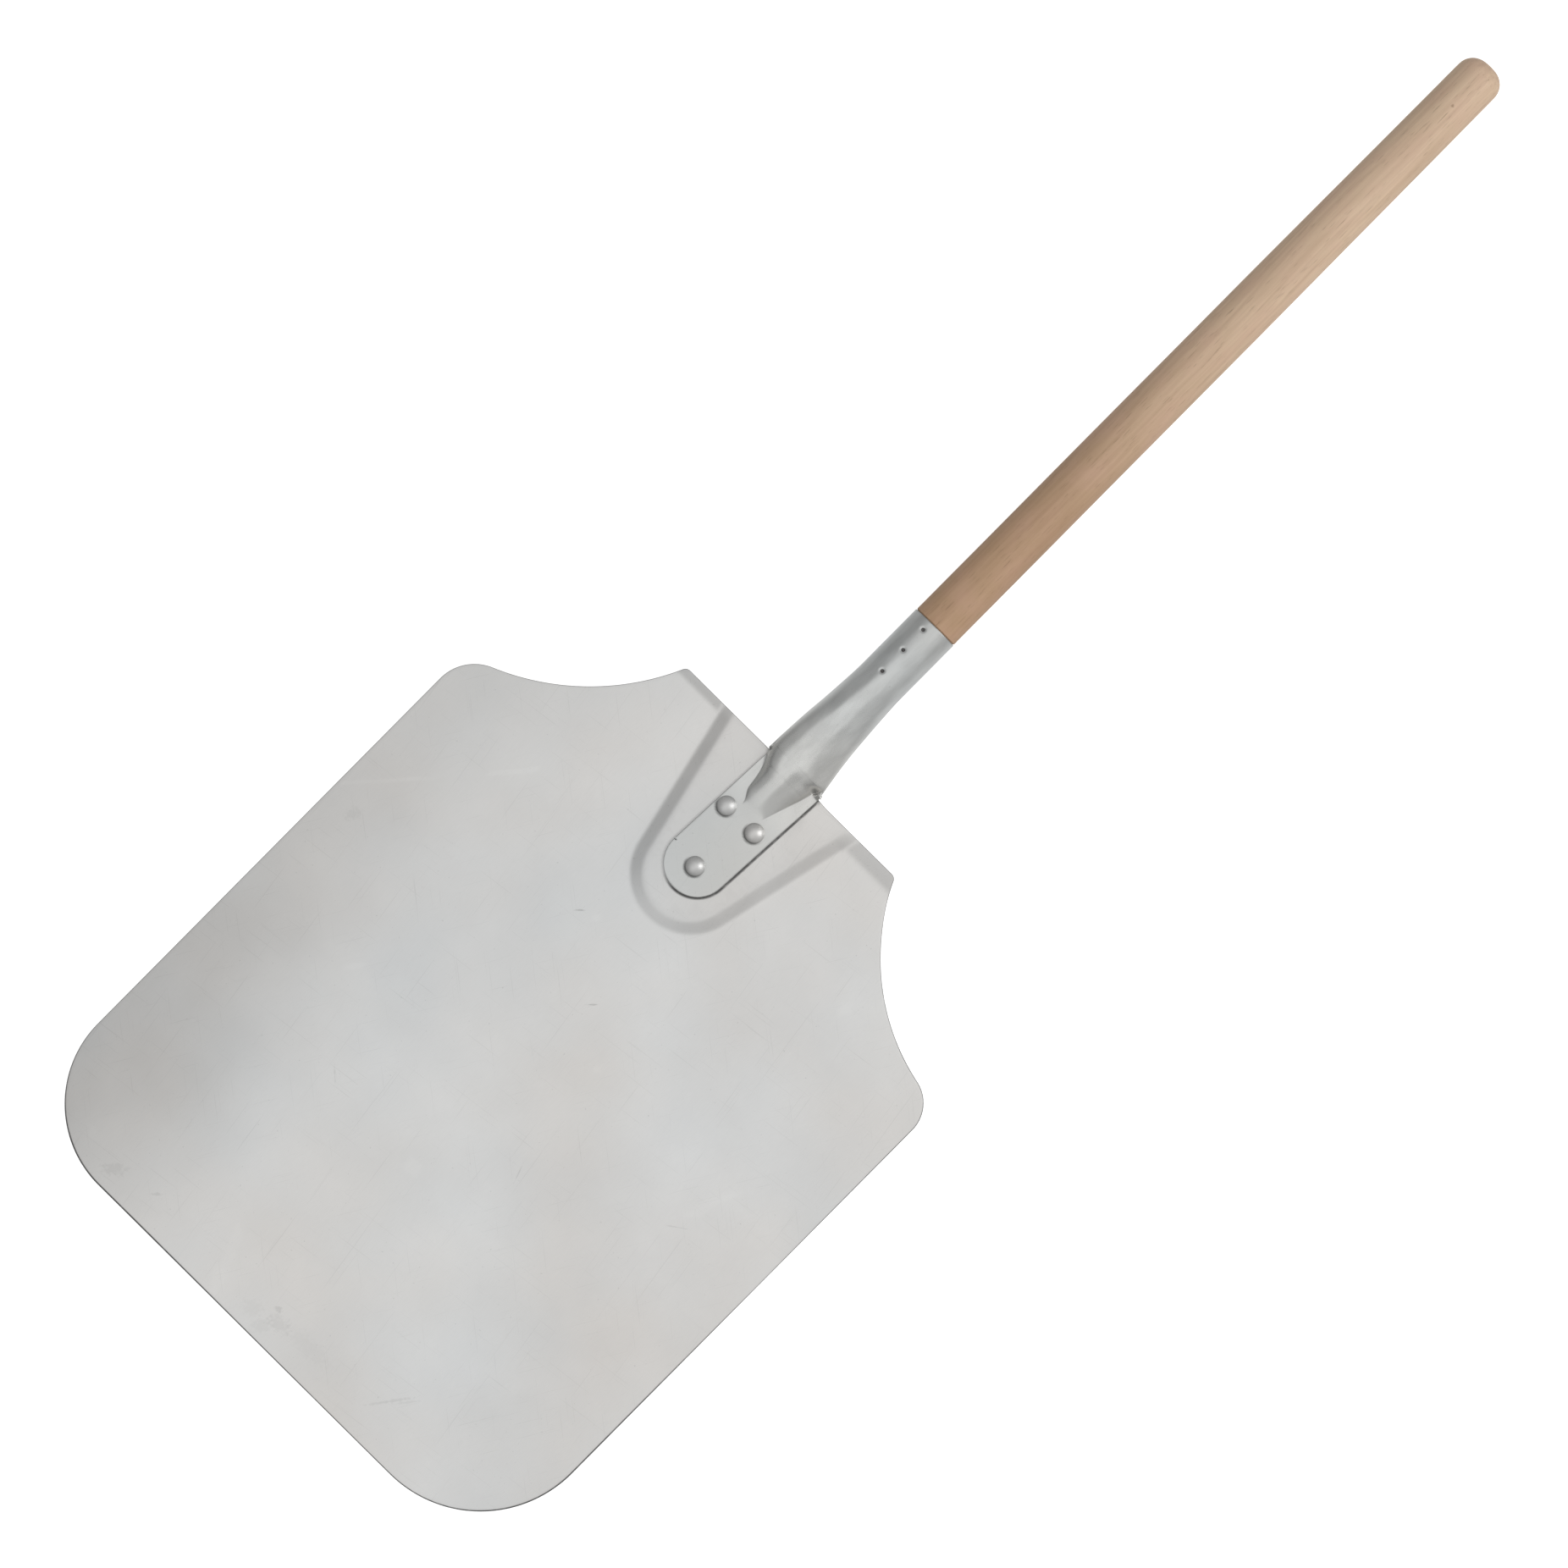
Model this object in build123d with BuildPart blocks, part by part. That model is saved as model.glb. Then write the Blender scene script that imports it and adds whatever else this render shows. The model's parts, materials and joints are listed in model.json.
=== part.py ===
"""Pizza peel: a flat aluminium blade, a pressed aluminium socket and a round wooden handle.

The blade's rear end is pressed up into a raised pad, so that the rivets' tails stay clear of the table.
Beside the pad, the blade's rear margins are bent up a little, more on the right than on the left.
The socket is one piece of sheet. Its flat tongue is riveted onto the pad, a half-round boss grows out of
the tongue, and behind the blade the sheet wraps into a tube, closed by a seam underneath. The handle's
tenon sits in the tube, and three sunk nails hold it.

The neck isn't quite in the middle of the blade: its left shoulder is narrower than its right one. The
tongue is turned a few degrees from the handle's line.

Frame: the origin is under the middle of the whole peel, in the plane of the blade's underside. +Y runs
along the handle towards its tip, +Z is up and X is across the blade. Sizes are in millimetres.
"""

import os
from math import cos, radians, sin, tan

from build123d import *

# Whole peel
overall_length = 914.4
front_y = -overall_length / 2
tip_y = overall_length / 2

# Blade sheet
blade_length = 404.0
blade_half_width = 168.8
blade_thickness = 1.5
rear_y = front_y + blade_length
neck_x = -5.8
rear_edge_half_width = 76.3
rear_corner_radius = 3.5
front_bevel = 0.8

# Sides of the blade's outline: side, scallop length and radius, shoulder radius, front corner radius
blade_sides = (
    (-1, 76.0, 134.0, 25.0, 59.0),
    (1, 70.5, 115.5, 20.0, 66.5),
)

# Raised pad, measured under the sheet
pad_height = 3.0
pad_wall_run = 6.9
pad_half_width_at_rear = 49.2
pad_taper = radians(12.8)
pad_nose_radius = 31.5

# Bent-up rear margins: side, length of the slope and its rise at the rear edge
rear_margins = (
    (-1, 5.6, 0.9),
    (1, 9.8, 2.0),
)
overhang = 12.0

# Socket sheet
socket_thickness = 1.2
tongue_length = 85.6
tongue_half_width = 17.65
tongue_half_width_at_rear = 18.1
tongue_turn = radians(2.9)
tongue_offset_at_rear = 2.2
mouth_gap = 0.5
socket_underside = 0.8
tube_radius = 13.5
tube_start = 66.0
tube_end = 104.4
seam_width = 0.6

# Sections of the socket: distance behind the blade's rear edge, half width, half height
boss_sections = (
    (-33.0, 7.0, 2.4),
    (-20.0, 9.6, 4.2),
    (-10.0, 12.6, 6.1),
    (0.0, 18.6, 7.8),
)
neck_sections = (
    (0.0, 18.6, 7.8),
    (19.0, 16.8, 10.2),
    (38.0, 15.1, 12.0),
    (52.0, 14.1, 13.0),
    (tube_start, tube_radius, tube_radius),
)

# Handle
grip_radius = 13.3
grip_shoulder_chamfer = 0.8
grip_length = 240.0
tip_radius = 12.8
tip_rounding = 9.8
tenon_radius = tube_radius - socket_thickness
tenon_start = 34.0
tenon_start_radius = 8.5

# Rivets: places are (across from the middle of the neck, ahead of the blade's rear edge)
rivet_places = {
    "tongue_rivet_front": (-1.1, 70.0),
    "tongue_rivet_left": (-11.5, 36.4),
    "tongue_rivet_right": (8.6, 36.4),
}
rivet_head_radius = 5.4
rivet_head_height = 3.0
rivet_shank_radius = 2.5
rivet_tail_radius = 4.0
rivet_tail_height = 1.3
rivet_tail_rounding = 0.5

# Nails: setbacks from the tube's end, and the lean of their row from the top of the tube
nail_setbacks = {"ferrule_nail_1": 5.4, "ferrule_nail_2": 20.0, "ferrule_nail_3": 35.2}
nail_lean = radians(15.0)
nail_sink = 0.45
nail_head_radius = 1.2
nail_head_height = 0.7
nail_shank_radius = 0.8
nail_shank_length = 12.0
nail_point_length = 3.0

# How near a selected edge or corner has to be to the place that is asked for
pick_reach = 0.1

# Derived places
pad_top = pad_height + blade_thickness
tongue_top = pad_top + socket_thickness
tube_axis_z = socket_underside + tube_radius
tube_end_y = rear_y + tube_end

STANDING = (Align.CENTER, Align.CENTER, Align.MIN)
HANGING = (Align.CENTER, Align.CENTER, Align.MAX)

os.makedirs("parts", exist_ok=True)


def outline_corners(sketch, y, side=0):
    """The sketch's corners at the distance y along the peel, on both sides of the neck or on one."""
    corners = sketch.vertices().filter_by_position(Axis.Y, y - pick_reach, y + pick_reach)
    return corners.filter_by(lambda corner: abs(corner.X - neck_x) > pick_reach and corner.X * side >= 0)


def neck_level(height):
    """Level plane with its origin above or below the middle of the neck."""
    return Plane.XY.move(Location((neck_x, 0, height)))


def socket_plane(distance_behind, half_height):
    """Plane across the socket, its origin at the middle of that section and its normal along +Y."""
    origin = (neck_x, rear_y + distance_behind, socket_underside + half_height)
    return Plane(origin=origin, x_dir=(1, 0, 0), z_dir=(0, 1, 0))


def socket_form(inset):
    """Solid of the boss, neck and tube, drawn in from the socket's outside by the inset."""
    with BuildPart() as form:
        for sections in (boss_sections, neck_sections):
            for distance_behind, half_width, half_height in sections:
                with BuildSketch(socket_plane(distance_behind, half_height)):
                    Ellipse(half_width - inset, half_height - inset)
            loft()
        with BuildSketch(socket_plane(tube_start, tube_radius)):
            Circle(tube_radius - inset)
        extrude(amount=tube_end - tube_start)
    return form.part


def nail_plane(setback, height):
    """Plane across a nail at a height above the tube's axis, its normal along the nail, outwards."""
    outwards = Vector(-sin(nail_lean), 0, cos(nail_lean))
    origin = Vector(neck_x, tube_end_y - setback, tube_axis_z) + outwards * height
    return Plane(origin=origin, x_dir=(0, 1, 0), z_dir=outwards)


# The space pressed up under the blade: the tapered pad, and a slope along each rear margin
with BuildPart() as pressing:
    for inset, height in ((0.0, 0.0), (pad_wall_run, pad_height)):
        nose_radius = pad_nose_radius - inset
        nose_centre_y = rear_y - (pad_half_width_at_rear - pad_nose_radius / cos(pad_taper)) / tan(pad_taper)
        nose_end = (nose_radius * cos(pad_taper), nose_centre_y - nose_radius * sin(pad_taper))
        arm_run = rear_y + overhang - nose_end[1]
        arm_end = (nose_end[0] + arm_run * tan(pad_taper), rear_y + overhang)
        with BuildSketch(neck_level(height)):
            with BuildLine():
                Line((0, rear_y + overhang), arm_end)
                Line(arm_end, nose_end)
                nose_tip = (0, nose_centre_y - nose_radius)
                RadiusArc(nose_end, nose_tip, nose_radius)
                mirror(about=Plane.YZ)
            make_face()
    loft(ruled=True)
    for side, run, rise in rear_margins:
        with BuildSketch(Plane.YZ.offset(neck_x)):
            Polygon(
                (rear_y - run, 0),
                (rear_y + overhang, rise * (run + overhang) / run),
                (rear_y + overhang, 0),
                align=None,
            )
        extrude(amount=side * (rear_edge_half_width + overhang))

# Everything that lies below the blade's upper surface
with BuildPart() as under_upper_surface:
    with BuildSketch():
        Rectangle(2 * (blade_half_width + overhang), overall_length)
    extrude(amount=blade_thickness)
    with Locations((0, 0, blade_thickness)):
        add(pressing.part)

# Blade: its outline, kept between the sheet's upper and lower surfaces
with BuildPart() as blade:
    with BuildSketch() as blade_outline:
        with BuildLine():
            for side, scallop_length, scallop_radius, _, _ in blade_sides:
                rear_corner = (neck_x + side * rear_edge_half_width, rear_y)
                shoulder = (side * blade_half_width, rear_y - scallop_length)
                front_corner = (side * blade_half_width, front_y)
                Line((neck_x, rear_y), rear_corner)
                RadiusArc(rear_corner, shoulder, -side * scallop_radius)
                Line(shoulder, front_corner)
                Line(front_corner, (neck_x, front_y))
        make_face()
        fillet(outline_corners(blade_outline, rear_y), rear_corner_radius)
        for side, scallop_length, _, shoulder_radius, front_corner_radius in blade_sides:
            fillet(outline_corners(blade_outline, rear_y - scallop_length, side), shoulder_radius)
            fillet(outline_corners(blade_outline, front_y, side), front_corner_radius)
    extrude(amount=pad_top)
    add(under_upper_surface.part, mode=Mode.INTERSECT)
    add(pressing.part, mode=Mode.SUBTRACT)
    upper_heights = (blade_thickness - pick_reach, blade_thickness + pick_reach)
    upper_edges = blade.edges().filter_by_position(Axis.Z, *upper_heights)
    front_reach = front_y + max(corner_radius for *_, corner_radius in blade_sides)
    chamfer(upper_edges.filter_by_position(Axis.Y, front_y - pick_reach, front_reach), front_bevel)
    for across, ahead in rivet_places.values():
        with Locations((neck_x + across, rear_y - ahead, pad_height)):
            Cylinder(rivet_shank_radius, blade_thickness, align=STANDING, mode=Mode.SUBTRACT)
blade.part.label = "blade"
export_step(blade.part, "parts/blade.step")

# Socket: tongue, boss and tube, one bent sheet
with BuildPart() as socket:
    add(socket_form(0))
    # Ahead of the tube's mouth, only what stands above the pad is left
    with Locations((neck_x, rear_y + mouth_gap, pad_top)):
        below_tongue = (Align.CENTER, Align.MAX, Align.MAX)
        Box(4 * tube_radius, tongue_length, pad_top, align=below_tongue, mode=Mode.SUBTRACT)
    with BuildSketch(neck_level(pad_top)):
        with BuildLine():
            nose_run = tongue_length - tongue_half_width
            nose_centre = Vector(tongue_offset_at_rear - nose_run * tan(tongue_turn), rear_y - nose_run)
            across_nose = Vector(cos(tongue_turn), -sin(tongue_turn)) * tongue_half_width
            nose_tip = nose_centre + Vector(-sin(tongue_turn), -cos(tongue_turn)) * tongue_half_width
            corners = [
                (tongue_offset_at_rear + side * tongue_half_width_at_rear, rear_y + mouth_gap)
                for side in (-1, 1)
            ]
            Line(*corners)
            Line(corners[1], nose_centre + across_nose)
            RadiusArc(nose_centre + across_nose, nose_tip, tongue_half_width)
            RadiusArc(nose_tip, nose_centre - across_nose, tongue_half_width)
            Line(nose_centre - across_nose, corners[0])
        make_face()
    extrude(amount=socket_thickness)
    add(socket_form(socket_thickness), mode=Mode.SUBTRACT)
    # The seam, then the holes for the rivets and the nails
    with Locations((neck_x, rear_y, socket_underside)):
        seam_place = (Align.CENTER, Align.MIN, Align.CENTER)
        Box(seam_width, 2 * tube_end, 4 * socket_thickness, align=seam_place, mode=Mode.SUBTRACT)
    for across, ahead in rivet_places.values():
        with Locations((neck_x + across, rear_y - ahead, pad_top)):
            Cylinder(rivet_shank_radius, socket_thickness, align=STANDING, mode=Mode.SUBTRACT)
    for setback in nail_setbacks.values():
        with Locations(nail_plane(setback, tube_radius / 2)):
            Cylinder(nail_head_radius, tube_radius, align=STANDING, mode=Mode.SUBTRACT)
socket.part.label = "socket"
export_step(socket.part, "parts/socket.step")

# Rivets: a domed head on the tongue, a shank through tongue and pad, a flattened tail under the pad
dome_radius = (rivet_head_radius**2 + rivet_head_height**2) / (2 * rivet_head_height)
tail_z = pad_height - rivet_tail_height
for name, (across, ahead) in rivet_places.items():
    centre = (neck_x + across, rear_y - ahead, 0)
    with BuildPart() as rivet:
        with BuildSketch(Plane(origin=centre, x_dir=(1, 0, 0), z_dir=(0, -1, 0))):
            with BuildLine():
                head_top = (0, tongue_top + rivet_head_height)
                head_rim = (rivet_head_radius, tongue_top)
                RadiusArc(head_top, head_rim, dome_radius)
                Polyline(
                    head_rim,
                    (rivet_shank_radius, tongue_top),
                    (rivet_shank_radius, pad_height),
                    (rivet_tail_radius, pad_height),
                    (rivet_tail_radius, tail_z),
                    (0, tail_z),
                    head_top,
                )
            make_face()
        revolve(axis=Axis(centre, (0, 0, 1)))
        fillet(rivet.edges().group_by(Axis.Z)[0], rivet_tail_rounding)
    rivet.part.label = name
    export_step(rivet.part, f"parts/{name}.step")

# Nails: a flat head sunk in the tube's wall, and a pointed shank in the tenon
nails = []
head_top = tube_radius - nail_sink
head_base = head_top - nail_head_height
shank_end = head_base - nail_shank_length
for name, setback in nail_setbacks.items():
    with BuildPart() as nail:
        with Locations(nail_plane(setback, head_base)):
            Cylinder(nail_head_radius, nail_head_height, align=STANDING)
            Cylinder(nail_shank_radius, nail_shank_length, align=HANGING)
        with Locations(nail_plane(setback, shank_end)):
            Cone(0, nail_shank_radius, nail_point_length, align=HANGING)
    nail.part.label = name
    export_step(nail.part, f"parts/{name}.step")
    nails.append(nail.part)

# Handle: a round grip with a rounded tip, and a tenon that tapers inside the socket's neck
with BuildPart() as handle:
    with BuildSketch(neck_level(tube_axis_z)):
        Polygon(
            (0, rear_y + tenon_start),
            (tenon_start_radius, rear_y + tenon_start),
            (tenon_radius, rear_y + tube_start),
            (tenon_radius, tube_end_y),
            (grip_radius - grip_shoulder_chamfer, tube_end_y),
            (grip_radius, tube_end_y + grip_shoulder_chamfer),
            (grip_radius, tube_end_y + grip_shoulder_chamfer + grip_length),
            (tip_radius, tip_y),
            (0, tip_y),
            align=None,
        )
    revolve(axis=Axis((neck_x, 0, tube_axis_z), (0, 1, 0)))
    fillet(handle.edges().group_by(Axis.Y)[-1], tip_rounding)
    for nail_piece in nails:
        add(nail_piece, mode=Mode.SUBTRACT)
handle.part.label = "handle"
export_step(handle.part, "parts/handle.step")
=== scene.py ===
"""Looks of the pizza peel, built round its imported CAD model. Metres, in the part's own frame."""

import json
from math import atan2, ceil, cos, degrees, hypot, pi, radians, sin, sqrt, tan

import bmesh
import bpy
import numpy as np
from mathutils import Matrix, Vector
from mathutils.geometry import delaunay_2d_cdt


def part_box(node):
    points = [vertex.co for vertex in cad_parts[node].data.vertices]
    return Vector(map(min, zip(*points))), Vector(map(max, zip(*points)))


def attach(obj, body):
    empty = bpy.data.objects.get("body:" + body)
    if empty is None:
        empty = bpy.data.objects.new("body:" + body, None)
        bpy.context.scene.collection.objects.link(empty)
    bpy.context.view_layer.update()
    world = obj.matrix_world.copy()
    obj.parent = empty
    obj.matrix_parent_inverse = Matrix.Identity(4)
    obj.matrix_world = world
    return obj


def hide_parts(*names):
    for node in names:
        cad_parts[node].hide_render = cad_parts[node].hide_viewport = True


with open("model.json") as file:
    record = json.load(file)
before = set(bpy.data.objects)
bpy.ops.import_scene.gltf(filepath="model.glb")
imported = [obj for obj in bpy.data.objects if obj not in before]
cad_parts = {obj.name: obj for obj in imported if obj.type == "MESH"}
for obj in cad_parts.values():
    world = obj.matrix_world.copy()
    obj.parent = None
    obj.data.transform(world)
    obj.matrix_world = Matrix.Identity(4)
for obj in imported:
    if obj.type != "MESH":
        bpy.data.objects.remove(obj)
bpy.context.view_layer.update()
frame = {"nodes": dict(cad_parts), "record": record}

MM = 0.001

# Places from the frame
mounts = {mount["name"]: mount for mount in frame["record"]["mounts"]}
neck_x, _, axis_z = mounts["handle_grip"]["pos_m"]
grip_radius = mounts["handle_grip"]["dims"]["r_mm"] * MM
grip_length = mounts["handle_grip"]["dims"]["length_mm"] * MM
blade_low, blade_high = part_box("blade")
front_y, rear_y = blade_low.y, blade_high.y
half_width = blade_high.x
sheet = mounts["blade_top"]["pos_m"][2]
pad_top = blade_high.z
socket_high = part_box("socket")[1]
tube_end_y = socket_high.y
tube_radius = socket_high.z - axis_z
handle_low, handle_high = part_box("handle")
tip_y = handle_high.y

# Tongue of the socket, which the blade's line of dirt and painted shadow follows too
SOCKET_SHEET = 1.2 * MM
TONGUE_HALF_WIDTH = 17.65 * MM
TONGUE_HALF_WIDTH_AT_REAR = 18.1 * MM
TONGUE_TURN = radians(2.9)
TONGUE_OFFSET_AT_REAR = 2.2 * MM
TONGUE_TOP = pad_top + SOCKET_SHEET
TONGUE_NOSE_RUN = 67.95 * MM
TONGUE_NOSE_X = TONGUE_OFFSET_AT_REAR - TONGUE_NOSE_RUN * tan(TONGUE_TURN)
# Line of dirt and painted contact shadow along the tongue's edge: darkest on its right side and nose, faint
# on its left
TONGUE_DIRT_AND_SHADOW_LEFT = 0.15
TONGUE_DIRT_AND_SHADOW_START = (-0.6 * MM, -0.1 * MM)
TONGUE_DIRT_AND_SHADOW_REACH = (0.7 * MM, 1.4 * MM)
TONGUE_DIRT_AND_SHADOW_SIDES = (-0.6, 0.2)


# -------- helpers


def link(name, data):
    """New object in the scene, for a mesh, a camera or a light."""
    made = bpy.data.objects.new(name, data)
    bpy.context.scene.collection.objects.link(made)
    return made


def arc(centre, radius, start, end, spacing):
    """Points along an arc from one angle to another, the short way, without its last point."""
    sweep = (end - start + pi) % (2 * pi) - pi
    count = max(5, ceil(abs(sweep) * radius / spacing))
    angles = [start + sweep * step / count for step in range(count)]
    return [Vector((centre[0] + radius * cos(a), centre[1] + radius * sin(a))) for a in angles]


def run(start, end, spacing):
    """Points along a straight line, without its last point."""
    start, end = Vector(start), Vector(end)
    count = max(1, ceil((end - start).length / spacing))
    return [start.lerp(end, step / count) for step in range(count)]


def smooth_step(low, high, x):
    """0 below low, 1 above high and a smooth rise between them."""
    t = np.clip((x - low) / (high - low), 0, 1)
    return t * t * (3 - 2 * t)


def paint_points(mesh, name, values):
    """Stores a number at each of the mesh's points, for its material."""
    layer = mesh.attributes.new(name, "FLOAT", "POINT")
    layer.data.foreach_set("value", np.asarray(values, np.float32))


def stand_in(name, mesh, node):
    """New piece that shows the mesh in place of a CAD node, which it hides."""
    piece = link(name, mesh)
    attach(piece, "root")
    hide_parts(node)
    return piece


# -------- blade

# Blade outline, as in the CAD: side, scallop length and radius, shoulder radius, front corner radius
BLADE_SIDES = (
    (-1, 76.0 * MM, 134.0 * MM, 25.0 * MM, 59.0 * MM),
    (1, 70.5 * MM, 115.5 * MM, 20.0 * MM, 66.5 * MM),
)
REAR_EDGE_HALF_WIDTH = 76.3 * MM
REAR_CORNER_RADIUS = 3.5 * MM
REAR_SLANT = 1.3 * MM
REAR_SLANT_ACROSS = (8 * MM, 28 * MM)
REAR_SLANT_DEPTH = 32 * MM

# Raised pad and bent-up rear margins
PAD_HEIGHT = pad_top - sheet
PAD_WALL_RUN = 6.9 * MM
PAD_HALF_WIDTH_AT_REAR = 49.2 * MM
PAD_TAPER = radians(12.8)
PAD_NOSE_RADIUS = 31.5 * MM
PAD_BEND = 1.3 * MM
REAR_MARGINS = ((-1, 5.6 * MM, 0.9 * MM), (1, 9.8 * MM, 2.0 * MM))
WAVE_HEIGHT = 0.15 * MM

# Cut edge, unevenly ground: bearing from the blade's middle in degrees, bevel, and dirt with painted shade,
# darkest on the front and right
EDGE_ROUND = (
    (-180, 0.40 * MM, 0.30),
    (-140, 0.40 * MM, 0.40),
    (-125, 1.10 * MM, 0.95),
    (-112, 1.18 * MM, 1.00),
    (-90, 0.82 * MM, 0.95),
    (-68, 0.70 * MM, 0.85),
    (-50, 1.00 * MM, 1.00),
    (-33, 1.00 * MM, 1.00),
    (0, 0.45 * MM, 0.75),
    (30, 0.60 * MM, 0.85),
    (60, 0.50 * MM, 0.70),
    (90, 0.40 * MM, 0.40),
    (180, 0.40 * MM, 0.30),
)
BEVEL_STEEPNESS = 0.85
BEVEL_TURNS = (0, 25, 50, 70, 90)
UNDERSIDE_ROUNDING = 0.25 * MM
UNDERSIDE_TURNS = (0, 45, 90)

# Spacing of the mesh's points, and how far the close one reaches past the bends and ahead of the rear edge
COARSE, FINE = 7.0 * MM, 0.9 * MM
BEND_REACH = 2.5 * MM
REAR_REACH = 12 * MM
RIM_WIDTH = 2.0 * MM
CLEAR_OF_RIM = 0.45 * MM

# Points along the tongue's outline: how far out each loop lies, how far its sides run, and their spacing
TONGUE_LOOPS = (-1.2 * MM, 0.0, 0.35 * MM, 0.7 * MM, 1.05 * MM, 1.6 * MM)
TONGUE_SIDE_RUN, TONGUE_SIDE_SPACING = 66 * MM, 1.2 * MM
TONGUE_NOSE_POINTS = 48

# Duller finish where the sheet was pressed, with painted shade that darkens the bent rear margins, the pad
# and its walls
MARGIN_DULL_AND_SHADE = {-1: 0.85, 1: 0.62}
PAD_DULL_AND_SHADE = 0.26
WALL_DULL_AND_SHADE = 0.22
PAD_WALL_ENDS = (PAD_WALL_RUN - 1 * MM, PAD_WALL_RUN + 1 * MM)
PAD_ARMS = (15 * MM, 32 * MM)

# Painted shade on the left side, which also makes it rougher: where it starts and where it is full, leftwards
# and forwards, and its share at the rear
LEFT_SHADE_ACROSS = (45 * MM, 172 * MM)
LEFT_SHADE_ALONG = (150 * MM, 430 * MM)
LEFT_SHADE_AT_REAR = 0.38


def side_outline(side):
    """Half of the blade's outline, from the middle of its front to the middle of its rear, x outwards."""
    _, scallop_length, scallop_radius, shoulder_radius, corner_radius = next(
        row for row in BLADE_SIDES if row[0] == side
    )
    rear_corner = Vector((side * neck_x + REAR_EDGE_HALF_WIDTH, rear_y))
    shoulder = Vector((half_width, rear_y - scallop_length))
    chord = shoulder - rear_corner
    outwards = Vector((-chord.y, chord.x)).normalized()
    scallop = (rear_corner + shoulder) / 2 + outwards * sqrt(scallop_radius**2 - (chord.length / 2) ** 2)

    rear_level = rear_y - REAR_CORNER_RADIUS
    reach = scallop_radius + REAR_CORNER_RADIUS
    rear_round = Vector((scallop.x - sqrt(reach**2 - (scallop.y - rear_level) ** 2), rear_level))
    shoulder_x = half_width - shoulder_radius
    reach = scallop_radius + shoulder_radius
    shoulder_round = Vector((shoulder_x, scallop.y - sqrt(reach**2 - (scallop.x - shoulder_x) ** 2)))
    front_round = Vector((half_width - corner_radius, front_y + corner_radius))

    def bearing(origin, target):
        return atan2(target.y - origin.y, target.x - origin.x)

    points = run((0, front_y), (front_round.x, front_y), 5 * MM)
    points += arc(front_round, corner_radius, -pi / 2, 0, 1.5 * MM)
    points += run((half_width, front_round.y), (half_width, shoulder_round.y), 5 * MM)
    points += arc(shoulder_round, shoulder_radius, 0, bearing(shoulder_round, scallop), 1.2 * MM)
    start, end = bearing(scallop, shoulder_round), bearing(scallop, rear_round)
    points += arc(scallop, scallop_radius, start, end, 1.5 * MM)
    points += arc(rear_round, REAR_CORNER_RADIUS, bearing(rear_round, scallop), pi / 2, 0.5 * MM)
    points += run((rear_round.x, rear_y), (0, rear_y), 1.2 * MM)
    return points


def blade_outline():
    """The blade's outline, counterclockwise from above."""
    right = side_outline(1)
    left = [Vector((-p.x, p.y)) for p in side_outline(-1)]
    rear_middle = Vector((0, rear_y))
    return right + [rear_middle] + left[:0:-1]


def rounded_slope(along, length, rise, bend):
    """Height of a slope that climbs by rise over length, with both its bends rounded."""

    def corner(x):
        return np.where(x < -bend, 0, np.where(x > bend, x, (x + bend) ** 2 / (4 * bend)))

    return rise / length * (corner(along) - corner(along - length))


def pad_reach(x, y):
    """How far a point lies inside the pad's base line."""
    across = np.abs(x - neck_x)
    nose_y = rear_y - (PAD_HALF_WIDTH_AT_REAR - PAD_NOSE_RADIUS / cos(PAD_TAPER)) / tan(PAD_TAPER)
    back = y - nose_y
    beside_arm = across * sin(PAD_TAPER) + back * cos(PAD_TAPER) > 0
    to_arm = across * cos(PAD_TAPER) - back * sin(PAD_TAPER)
    return PAD_NOSE_RADIUS - np.where(beside_arm, to_arm, np.hypot(across, back))


def blade_lift(x, y):
    """Height of the blade's underside over its flat plane: the pad, the rear margins and a faint waviness."""
    x, y = np.asarray(x, float), np.asarray(y, float)
    pad = rounded_slope(pad_reach(x, y), PAD_WALL_RUN, PAD_HEIGHT, PAD_BEND)
    margin = np.zeros_like(pad)
    for side, length, rise in REAR_MARGINS:
        slope = rounded_slope(y - (rear_y - length), length, rise, PAD_BEND)
        margin = np.where((x - neck_x) * side > 0, slope, margin)
    wave = 0.5 + 0.25 * np.sin(x / (31 * MM) + 1.7 * np.sin(y / (67 * MM)))
    wave += 0.25 * np.sin(y / (43 * MM) + 1.3 * np.sin(x / (53 * MM)))
    return pad + margin * (1 - pad / PAD_HEIGHT) + WAVE_HEIGHT * wave * (1 - pad / PAD_HEIGHT)


def rear_slant(x, y):
    """How far the rear edge lies ahead of its line, on the side where it was cut a little short."""
    near, far = REAR_SLANT_ACROSS
    beside = smooth_step(neck_x + near, neck_x + far, x)
    return float(REAR_SLANT * beside * smooth_step(rear_y - REAR_SLANT_DEPTH, rear_y, y))


def from_tongue(x, y):
    """Distance outside the tongue's outline, and how strongly dirt and painted shadow gather along it there.
    """
    across = x - neck_x - TONGUE_NOSE_X
    along = y - rear_y + TONGUE_NOSE_RUN
    across, along = (
        across * cos(TONGUE_TURN) - along * sin(TONGUE_TURN),
        across * sin(TONGUE_TURN) + along * cos(TONGUE_TURN),
    )
    widening = (TONGUE_HALF_WIDTH_AT_REAR - TONGUE_HALF_WIDTH) / TONGUE_NOSE_RUN
    beside = np.abs(across) - TONGUE_HALF_WIDTH - widening * along
    distance = np.where(along > 0, beside, np.hypot(across, along) - TONGUE_HALF_WIDTH)
    rightness = smooth_step(*TONGUE_DIRT_AND_SHADOW_SIDES, across / TONGUE_HALF_WIDTH)
    return distance, TONGUE_DIRT_AND_SHADOW_LEFT + (1 - TONGUE_DIRT_AND_SHADOW_LEFT) * rightness


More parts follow.
